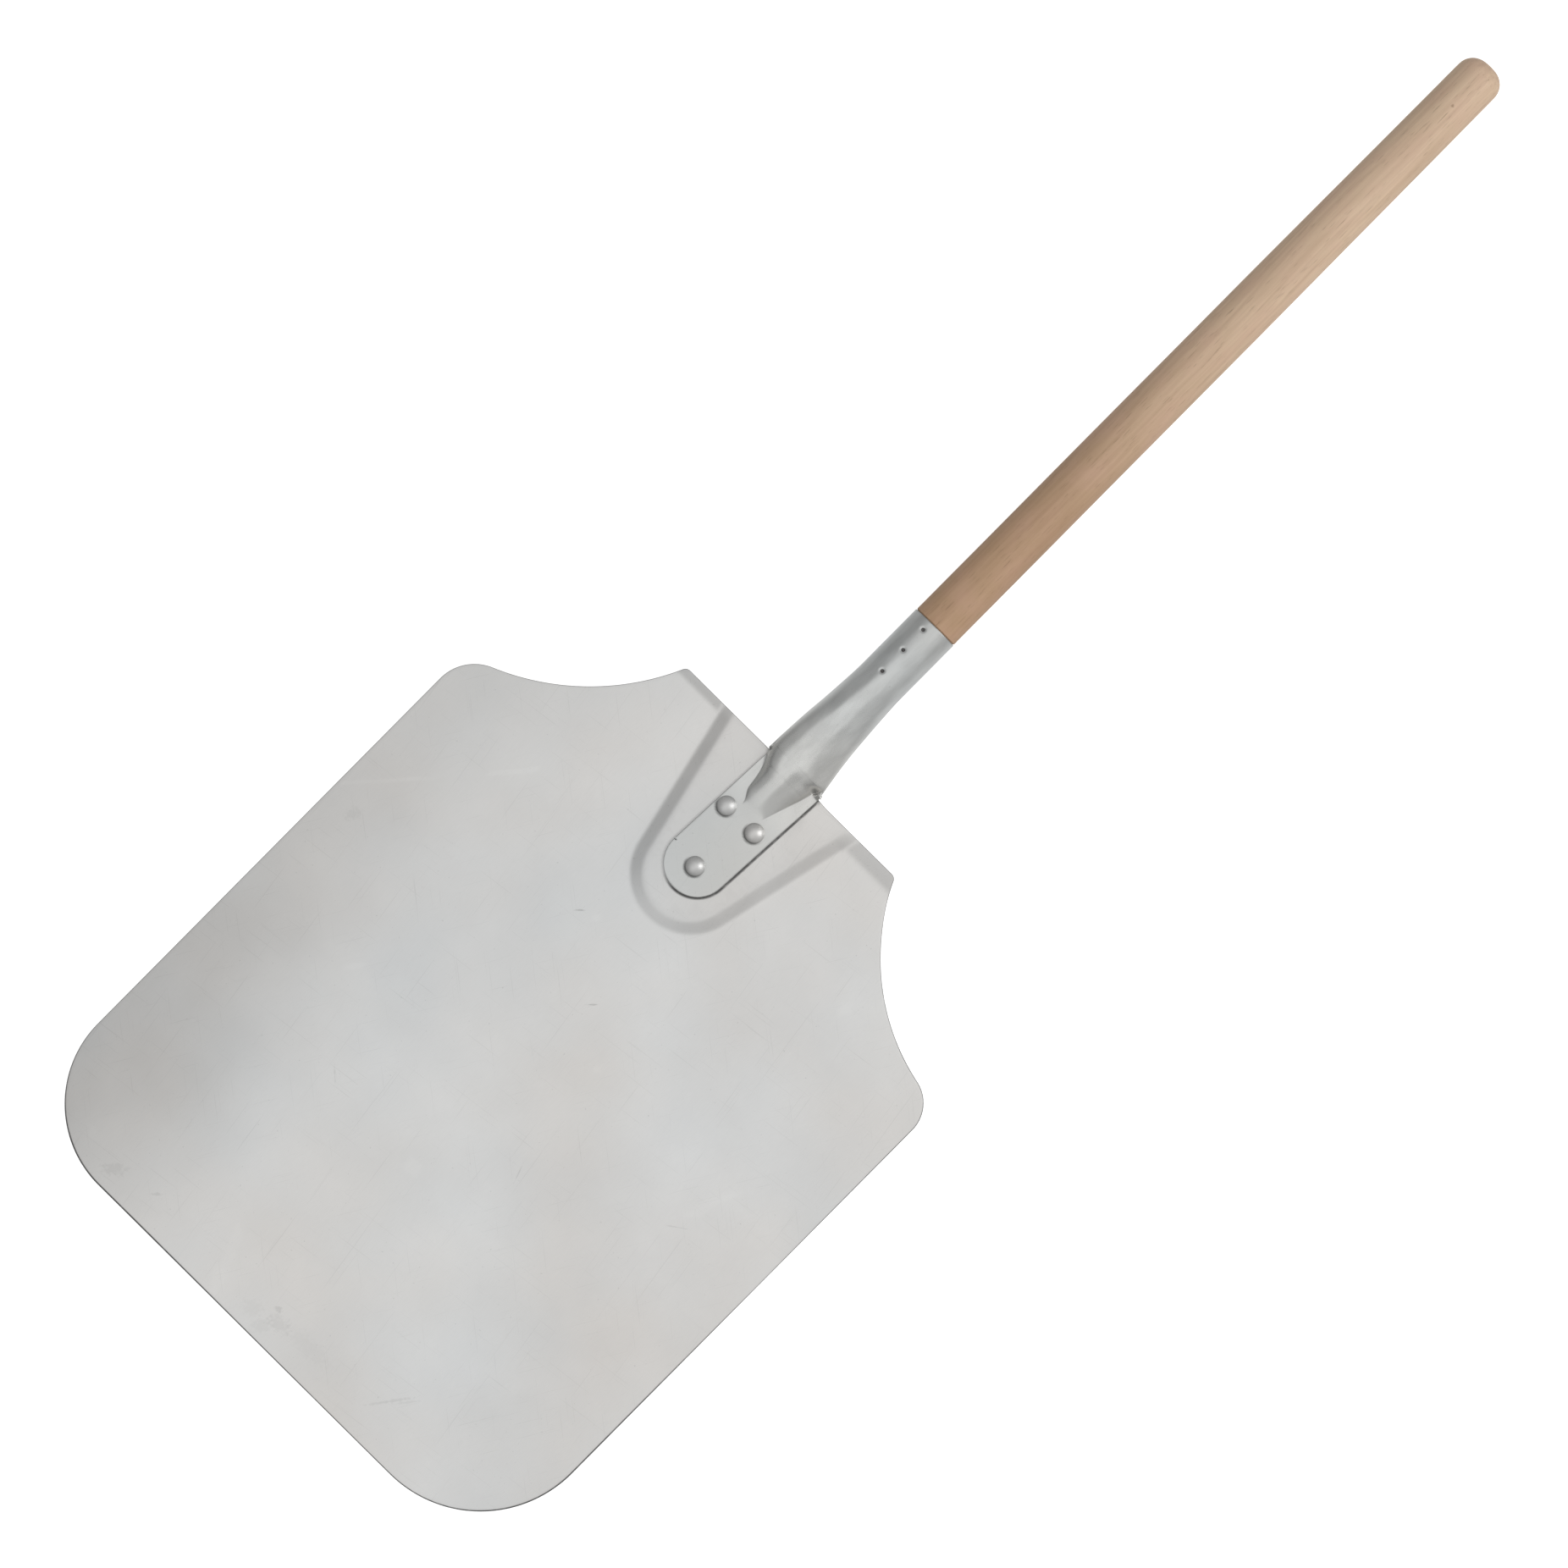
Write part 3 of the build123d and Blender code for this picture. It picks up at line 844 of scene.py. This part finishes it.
BLADE_TONE = (0.825, 0.820, 0.806)
SOCKET_TONE = (0.725, 0.735, 0.722)
RIVET_TONE = (0.72, 0.72, 0.71)
BLADE_ROUGHNESS, SOCKET_ROUGHNESS, RIVET_ROUGHNESS = 0.42, 0.28, 0.45
SOCKET_STREAKS = 0.07
STREAKED = (rear_y - 25 * MM, rear_y)
METAL_RELIEF = 0.005 * MM
# How much darker and rougher the dull places get; on the blade the darkening is painted shade
DULL_AND_SHADE_TONE, DULLED_ROUGHER = 0.76, 0.12
# Dirt and painted shadow: how dark, how much rougher and how much less metallic it makes the surface
DIRT_AND_SHADOW_TONE, DIRT_ROUGHER, DIRT_METAL = 0.22, 0.20, 0.6
# Height of the painted shadow and dirt round a rivet's foot
RIVET_DIRT_AND_SHADOW_HEIGHT = 1.6 * MM

# Dark marks and scuffs of the blade, in millimetres: place, turn, half length and half width, and strength
MARK_TONE = (0.30, 0.30, 0.29, 1)
MARK_HEIGHT = 20 * MM
BLADE_MARKS = (
    ((-33, -181), 0.8, (3, 0.6), 0.40),
    ((1.5, -437), 0.8, (3.5, 2.0), 0.18),
    ((-9, -446), 0.5, (8, 5.5), 0.06),
    ((7, -442), 0.1, (9, 5.0), 0.10),
    ((1, -449), 0.9, (8, 5.0), 0.07),
    ((26, -440), 0.0, (18, 6.0), 0.045),
    ((76, -430), 0.93, (15, 1.0), 0.15),
    ((82, -425), 0.88, (9, 0.8), 0.10),
    ((-110, -445), 0.7, (8, 4.5), 0.13),
    ((-85, -439), 0.8, (3, 1.1), 0.18),
    ((-151, -228), 1.2, (6, 4.0), 0.10),
    ((6, -211), 0.8, (4, 0.5), 0.32),
    ((40, -300), 1.9, (7, 0.45), 0.18),
    ((-64, -330), 2.4, (6, 0.45), 0.16),
    ((118, -262), 0.6, (8, 0.45), 0.16),
)

NAIL_TONE = (0.05, 0.05, 0.055, 1)
NAIL_WORN_TONE = (0.20, 0.19, 0.18, 1)
NAIL_RELIEF = 0.05 * MM

WOOD_BY_TUBE = (0.58, 0.385, 0.240, 1)
WOOD_BY_TIP = (0.83, 0.63, 0.45, 1)
WOOD_DEEP = (0.36, 0.20, 0.11, 1)
WOOD_ROSY = (0.74, 0.45, 0.36, 1)
WOOD_PORE = (0.20, 0.11, 0.06, 1)
WOOD_CONTRAST = 0.55
WOOD_CHANGE = (100 * MM, 330 * MM)
WOOD_RELIEF = 0.06 * MM

# Dark spots in the wood: place, size and strength
WOOD_MARKS = (
    ((3.7 * MM, 257 * MM, axis_z + 13 * MM), 2.2 * MM, 0.7),
    ((1.3 * MM, 413 * MM, axis_z + 13 * MM), 1.2 * MM, 0.6),
    ((-5.5 * MM, 428 * MM, axis_z + 13 * MM), 1.4 * MM, 0.5),
)


class Nodes:
    """A node tree, with short ways to add and join its nodes."""

    def __init__(self, tree):
        self.tree = tree

    def node(self, kind, **settings):
        made = self.tree.nodes.new("ShaderNode" + kind)
        for key, value in settings.items():
            setattr(made, key, value)
        return made

    def join(self, source, target):
        self.tree.links.new(source, target)

    def feed(self, target, value):
        """Joins a socket to another one, or sets it to a value."""
        if isinstance(value, bpy.types.NodeSocket):
            self.join(value, target)
        else:
            target.default_value = value

    def fill(self, node, values):
        """Feeds a node's sockets, each given by its name or number."""
        for socket_name, value in values.items():
            self.feed(node.inputs[socket_name], value)

    def math(self, operation, *values, clamp=False):
        made = self.node("Math", operation=operation, use_clamp=clamp)
        for target, value in zip(made.inputs, values):
            self.feed(target, value)
        return made.outputs[0]

    def chain(self, operation, first, *rest):
        """The values joined one after another by the same operation."""
        for value in rest:
            first = self.math(operation, first, value)
        return first

    def times(self, *values):
        return self.chain("MULTIPLY", *values)

    def plus(self, *values):
        return self.chain("ADD", *values)

    def minus(self, *values):
        return self.chain("SUBTRACT", *values)

    def spread(self, value, low, high, to_low=0.0, to_high=1.0, smooth=False):
        """The value, brought from one range to another and held within it."""
        made = self.node("MapRange", interpolation_type="SMOOTHSTEP" if smooth else "LINEAR")
        self.fill(made, {"Value": value, "From Min": low, "From Max": high})
        self.fill(made, {"To Min": to_low, "To Max": to_high})
        return made.outputs["Result"]

    def split(self, vector):
        """The three parts of a vector."""
        made = self.node("SeparateXYZ")
        self.join(vector, made.inputs["Vector"])
        return made.outputs


class Paint(Nodes):
    """The node tree of a new material."""

    def __init__(self, name):
        self.material = bpy.data.materials.new(name)
        self.material.use_nodes = True
        super().__init__(self.material.node_tree)
        self.shader = self.tree.nodes["Principled BSDF"]
        self.spot = self.node("TexCoord").outputs["Object"]

    def place(self, location, turn, size):
        """The object's own coordinates, as seen from a place, a turn about Z and a size."""
        mapping = self.node("Mapping", vector_type="TEXTURE")
        self.fill(mapping, {"Vector": self.spot, "Location": location})
        self.fill(mapping, {"Rotation": (0, 0, turn), "Scale": size})
        return mapping.outputs["Vector"]

    def noise(self, scale, detail=2.0, roughness=0.5, squeeze=1.0, turn=0.0):
        """Noise that is turned about Z, and squeezed along its Y so that it runs in streaks."""
        made = self.node("TexNoise")
        vector = self.place((0, 0, 0), turn, (1, 1 / squeeze, 1))
        self.fill(made, {"Vector": vector, "Scale": scale, "Detail": detail, "Roughness": roughness})
        return made.outputs["Fac"]

    def mix(self, factor, first, second):
        """Mix of two colours, which are the node's sockets 6 and 7, into the one at its output 2."""
        made = self.node("Mix", data_type="RGBA")
        self.fill(made, {"Factor": factor, 6: first, 7: second})
        return made.outputs[2]

    def bump(self, height, distance):
        """Turns the shader's normals by a relief of the given depth."""
        made = self.node("Bump")
        self.fill(made, {"Height": height, "Distance": distance, "Strength": 1.0})
        self.join(made.outputs["Normal"], self.shader.inputs["Normal"])


def scratches(paint, turns, scale, squeeze, low, high):
    """Thin streaks in a few directions: 0 between them, 1 on them."""
    total = 0.0
    for i, turn in enumerate(turns):
        streaks = paint.noise(scale * (1 + 0.21 * i), detail=1.0, squeeze=squeeze, turn=turn)
        total = paint.math("MAXIMUM", total, paint.spread(streaks, low, high, smooth=True))
    return total


def foot_dirt_and_shadow(paint, foot):
    """Painted shadow round a rivet's foot on the side that faces the blade's front, and a little dirt all
    round.
    """
    height = paint.split(paint.spot)["Z"]
    low = paint.spread(height, foot, foot + RIVET_DIRT_AND_SHADOW_HEIGHT, 0.95, 0.0, smooth=True)
    facing = paint.split(paint.node("NewGeometry").outputs["Normal"])["Y"]
    return paint.times(low, paint.spread(facing, 0.0, -0.6, 0.15, 1.0))


def mark_over(paint, color, marks):
    """The colour, with soft short lines over it, each with a place, a turn, a size and a strength."""
    wobble = paint.noise(scale=500.0, detail=3.0)
    for (x, y), turn, (length, width), strength in marks:
        away = paint.node("VectorMath", operation="LENGTH")
        over = paint.place((x * MM, y * MM, sheet), turn, (length * MM, width * MM, MARK_HEIGHT))
        paint.join(over, away.inputs[0])
        near = paint.plus(away.outputs["Value"], paint.spread(wobble, 0.3, 0.7, -0.4, 0.4))
        mark = paint.spread(near, 0.3, 1.0, strength, 0.0, smooth=True)
        color = paint.mix(mark, color, MARK_TONE)
    return color


def aluminium(name, tone, roughness, foot=None, streak_strength=0.0, marks=()):
    """Satin rolled aluminium: cloudy tone, fine grain, hair scratches, and dirt and painted shade where the
    mesh has it.
    """
    paint = Paint(name)
    clouds = paint.noise(scale=11.0, detail=3.0)
    smudges = paint.noise(scale=48.0, detail=4.0, roughness=0.6)
    grain = paint.noise(scale=2600.0, squeeze=0.06)
    pits = paint.spread(paint.noise(scale=620.0), 0.70, 0.78, smooth=True)
    hairs = scratches(paint, (0.15, 0.9, 1.7, 2.6), scale=1500.0, squeeze=0.012, low=0.70, high=0.78)

    shade = paint.times(
        paint.spread(clouds, 0.3, 0.7, 0.955, 1.03),
        paint.spread(smudges, 0.3, 0.75, 0.975, 1.02),
        paint.spread(grain, 0.2, 0.8, 0.985, 1.015),
        paint.spread(hairs, 0, 1, 1.0, 0.95),
        paint.spread(pits, 0, 1, 1.0, 0.86),
    )
    if streak_strength:
        drawn = paint.spread(paint.split(paint.spot)["Y"], *STREAKED, smooth=True)
        streaks = paint.noise(scale=210.0, squeeze=0.25)
        streaks = paint.spread(streaks, 0.35, 0.65, -streak_strength, streak_strength)
        shade = paint.times(shade, paint.plus(paint.times(streaks, drawn), 1.0))
    rough = paint.plus(
        roughness,
        paint.spread(smudges, 0.3, 0.75, -0.035, 0.05),
        paint.spread(clouds, 0.3, 0.7, 0.03, -0.03),
        paint.times(hairs, 0.08),
    )

    # A mesh made here carries its own dirt and dullness, both with painted shade in them, and a rivet's CAD
    # mesh has painted shadow and dirt by its height
    if foot is None:
        dirt = paint.node("Attribute", attribute_name="dirt").outputs["Fac"]
        dulled = paint.node("Attribute", attribute_name="dulled").outputs["Fac"]
        shade = paint.times(shade, paint.spread(dulled, 0, 1, 1.0, DULL_AND_SHADE_TONE))
        rough = paint.plus(rough, paint.times(dulled, DULLED_ROUGHER))
    else:
        dirt = foot_dirt_and_shadow(paint, foot)
    patchy = paint.noise(scale=330.0, detail=3.0)
    dirt = paint.times(dirt, paint.spread(patchy, 0.25, 0.5, 0.72, 1.0))
    # Dirt and painted shadow darken the tone
    shade = paint.times(shade, paint.spread(dirt, 0, 1, 1.0, DIRT_AND_SHADOW_TONE))
    rough = paint.plus(rough, paint.times(dirt, DIRT_ROUGHER))

    warmth = paint.spread(paint.noise(scale=8.0), 0.3, 0.7, -0.016, 0.016)
    channels = paint.node("CombineColor")
    for channel, level, lean in zip(channels.inputs, tone, (1.0, -0.1, -1.0)):
        tinted = paint.plus(level, paint.times(warmth, lean))
        paint.feed(channel, paint.math("MULTIPLY", shade, tinted, clamp=True))
    color = channels.outputs[0]
    if marks:
        color = mark_over(paint, color, marks)
    metallic = paint.spread(dirt, 0, 1, 1.0, DIRT_METAL)
    paint.fill(paint.shader, {"Base Color": color, "Roughness": rough, "Metallic": metallic})

    relief = paint.plus(paint.times(grain, 0.5), paint.times(smudges, 0.5))
    paint.bump(paint.minus(relief, paint.times(hairs, 0.6), pits), METAL_RELIEF)
    return paint.material


def dark_steel(name):
    """Blackened nail steel with worn spots."""
    paint = Paint(name)
    spots = paint.noise(scale=1400.0, detail=3.0)
    color = paint.mix(paint.spread(spots, 0.35, 0.7), NAIL_TONE, NAIL_WORN_TONE)
    rough = paint.spread(spots, 0.3, 0.7, 0.62, 0.4)
    paint.fill(paint.shader, {"Base Color": color, "Roughness": rough, "Metallic": 0.8})
    paint.bump(spots, NAIL_RELIEF)
    return paint.material


def sanded_wood(name):
    """Light hardwood with fine lengthwise grain, pores, and a browner end by the tube."""
    paint = Paint(name)
    x, y, z = paint.split(paint.spot)

    # Growth rings cut lengthwise: bands across the handle, bent by slow noise
    bend = paint.noise(scale=42.0, squeeze=0.12)
    across = paint.plus(x, paint.times(z, 0.35), paint.times(bend, 0.030))
    wave = paint.math("SINE", paint.times(across, 1500.0))
    rings = paint.spread(wave, -1, 1, 0, 1)
    fibres = paint.noise(scale=1500.0, detail=3.0, roughness=0.6, squeeze=0.02)
    streaks = paint.noise(scale=320.0, detail=3.0, roughness=0.55, squeeze=0.035)
    pores = paint.noise(scale=2300.0, detail=1.0, squeeze=0.045)
    pores = paint.spread(pores, 0.66, 0.74, smooth=True)
    blotches = paint.noise(scale=34.0, detail=3.0, squeeze=0.35)
    patches = paint.noise(scale=75.0, detail=3.0, roughness=0.6, squeeze=0.6)

    color = paint.mix(paint.spread(y, *WOOD_CHANGE, smooth=True), WOOD_BY_TUBE, WOOD_BY_TIP)
    depth = paint.plus(
        paint.times(paint.spread(streaks, 0.35, 0.7), 0.35),
        paint.times(rings, 0.14),
        paint.times(paint.spread(fibres, 0.3, 0.7), 0.22),
        paint.times(paint.spread(blotches, 0.35, 0.7), 0.20),
    )
    color = paint.mix(paint.times(depth, WOOD_CONTRAST), color, WOOD_DEEP)
    color = paint.mix(paint.spread(patches, 0.42, 0.72, 0.0, 0.22), color, WOOD_ROSY)
    color = paint.mix(paint.times(pores, 0.35), color, WOOD_PORE)
    for place, size, strength in WOOD_MARKS:
        away = paint.node("VectorMath", operation="DISTANCE")
        paint.fill(away, {0: paint.spot, 1: place})
        wobble = paint.times(paint.noise(scale=700.0), 0.6 * size)
        near = paint.plus(away.outputs["Value"], wobble)
        mark = paint.spread(near, 0.55 * size, 1.2 * size, strength, 0.0, smooth=True)
        color = paint.mix(mark, color, WOOD_PORE)

    rough = paint.plus(paint.spread(streaks, 0.3, 0.7, 0.62, 0.50), paint.times(pores, 0.15))
    paint.fill(paint.shader, {"Base Color": color, "Roughness": rough, "Specular IOR Level": 0.35})
    relief = paint.plus(paint.times(fibres, 0.6), paint.times(streaks, 0.4))
    paint.bump(paint.minus(relief, paint.times(pores, 0.8)), WOOD_RELIEF)
    return paint.material


# -------- camera, light and floor

SHOW_WIDTH = 0.8101
CAMERA_HEIGHT = 4.0
CAMERA_CENTRE = (-0.0042, -0.0607)
CAMERA_ROLL = radians(44.75)
SENSOR_MM = 36.0
WHITE = (1, 1, 1, 1)

# Studio walls: how bright they are, and how much more so to the right, above and below
WALL_LEVEL = 0.46
WALL_SLOPE = 0.09
SKY_GAIN = 0.05
GROUND_GAIN = 0.30
FRONT_SHADE = 0.34
FRONT_SHADE_HEIGHTS = (0.40, 0.05)
DARKEST_WALL = 0.02

# Softboxes: name, place, target, width and length, and power in watts
SOFTBOXES = (
    ("overhead_wide", (-0.12, -0.60, 1.0), (-0.12, -0.60, 0), (1.0, 2.2), 2.1),
    ("overhead_right", (0.20, -0.30, 1.0), (0.20, -0.30, 0), (0.5, 1.4), 0.9),
    ("kicker", (0.75, 0.75, 0.80), (0.0, 0.10, 0.0), (0.8, 0.8), 4.5),
)
FLOOR_TONE = (0.8, 0.8, 0.8, 1)
FLOOR_GLOW = 0.75
FLOOR_HALF_SIZE = 15.0
FLOOR_Z = -0.2 * MM


def make_camera():
    """Camera straight above the peel, turned so that the handle runs to the picture's upper right."""
    data = bpy.data.cameras.new("camera")
    data.sensor_width = SENSOR_MM
    data.lens = SENSOR_MM * CAMERA_HEIGHT / SHOW_WIDTH
    camera = link("camera", data)
    camera.location = (*CAMERA_CENTRE, CAMERA_HEIGHT)
    camera.rotation_euler = (0, 0, CAMERA_ROLL)
    bpy.context.scene.camera = camera


def make_softbox(name, place, target, size, power):
    """Area light that faces the target and that no camera sees."""
    data = bpy.data.lights.new(name, "AREA")
    data.shape = "RECTANGLE"
    data.size, data.size_y = size
    data.energy = power
    light = link(name, data)
    light.location = place
    light.rotation_euler = (Vector(target) - Vector(place)).to_track_quat("-Z", "Y").to_euler()
    light.visible_camera = False


def make_surroundings():
    """Studio walls: a soft sky, brighter to the right and darker low in front, and white for the camera."""
    world = bpy.data.worlds.new("studio")
    bpy.context.scene.world = world
    world.use_nodes = True
    walls = Nodes(world.node_tree)

    x, y, z = walls.split(walls.node("TexCoord").outputs["Generated"])
    above = walls.math("MAXIMUM", z, 0.0)
    below = walls.math("MAXIMUM", walls.times(z, -1.0), 0.0)
    glow = walls.plus(
        WALL_LEVEL,
        walls.times(x, WALL_SLOPE),
        walls.times(walls.math("POWER", above, 2.0), SKY_GAIN),
        walls.times(below, GROUND_GAIN),
    )

    low = walls.spread(z, *FRONT_SHADE_HEIGHTS, smooth=True)
    towards_front = walls.math("MAXIMUM", walls.times(y, -1.0), 0.0)
    shade = walls.times(low, towards_front, FRONT_SHADE)
    glow = walls.math("MAXIMUM", walls.minus(glow, shade), DARKEST_WALL)

    seen = walls.node("LightPath").outputs["Is Camera Ray"]
    unseen = walls.times(walls.minus(1.0, seen), glow)
    walls.fill(walls.tree.nodes["Background"], {"Color": WHITE, "Strength": walls.plus(seen, unseen)})


def make_floor():
    """Large pale floor, bright enough to show as white."""
    mesh = bpy.data.meshes.new("floor")
    reach = FLOOR_HALF_SIZE
    corners = [(x * reach, y * reach, FLOOR_Z) for x, y in ((-1, -1), (1, -1), (1, 1), (-1, 1))]
    mesh.from_pydata(corners, [], [(0, 1, 2, 3)])
    floor = link("floor", mesh)
    paint = Paint("floor_paint")
    paint.fill(paint.shader, {"Base Color": FLOOR_TONE, "Roughness": 0.9, "Specular IOR Level": 0.0})
    paint.fill(paint.shader, {"Emission Color": WHITE, "Emission Strength": FLOOR_GLOW})
    mesh.materials.append(paint.material)
    floor.visible_diffuse = False
    floor.visible_glossy = False


# -------- the scene

make_camera()
make_surroundings()
make_floor()
for softbox in SOFTBOXES:
    make_softbox(*softbox)

blade = make_blade()
blade_metal = aluminium("blade_aluminium", BLADE_TONE, BLADE_ROUGHNESS, marks=BLADE_MARKS)
blade.data.materials.append(blade_metal)
socket = make_socket()
socket_metal = aluminium("socket_aluminium", SOCKET_TONE, SOCKET_ROUGHNESS, streak_strength=SOCKET_STREAKS)
socket.data.materials.append(socket_metal)
handle = make_handle()
handle.data.materials.append(sanded_wood("handle_wood_sanded"))
for name in RIVET_NAMES:
    rivet_metal = aluminium(name + "_aluminium", RIVET_TONE, RIVET_ROUGHNESS, foot=TONGUE_TOP)
    frame["nodes"][name].data.materials[0] = rivet_metal
for name in NAIL_NAMES:
    frame["nodes"][name].data.materials[0] = dark_steel(name + "_steel")

bpy.context.scene.view_settings.view_transform = "Standard"
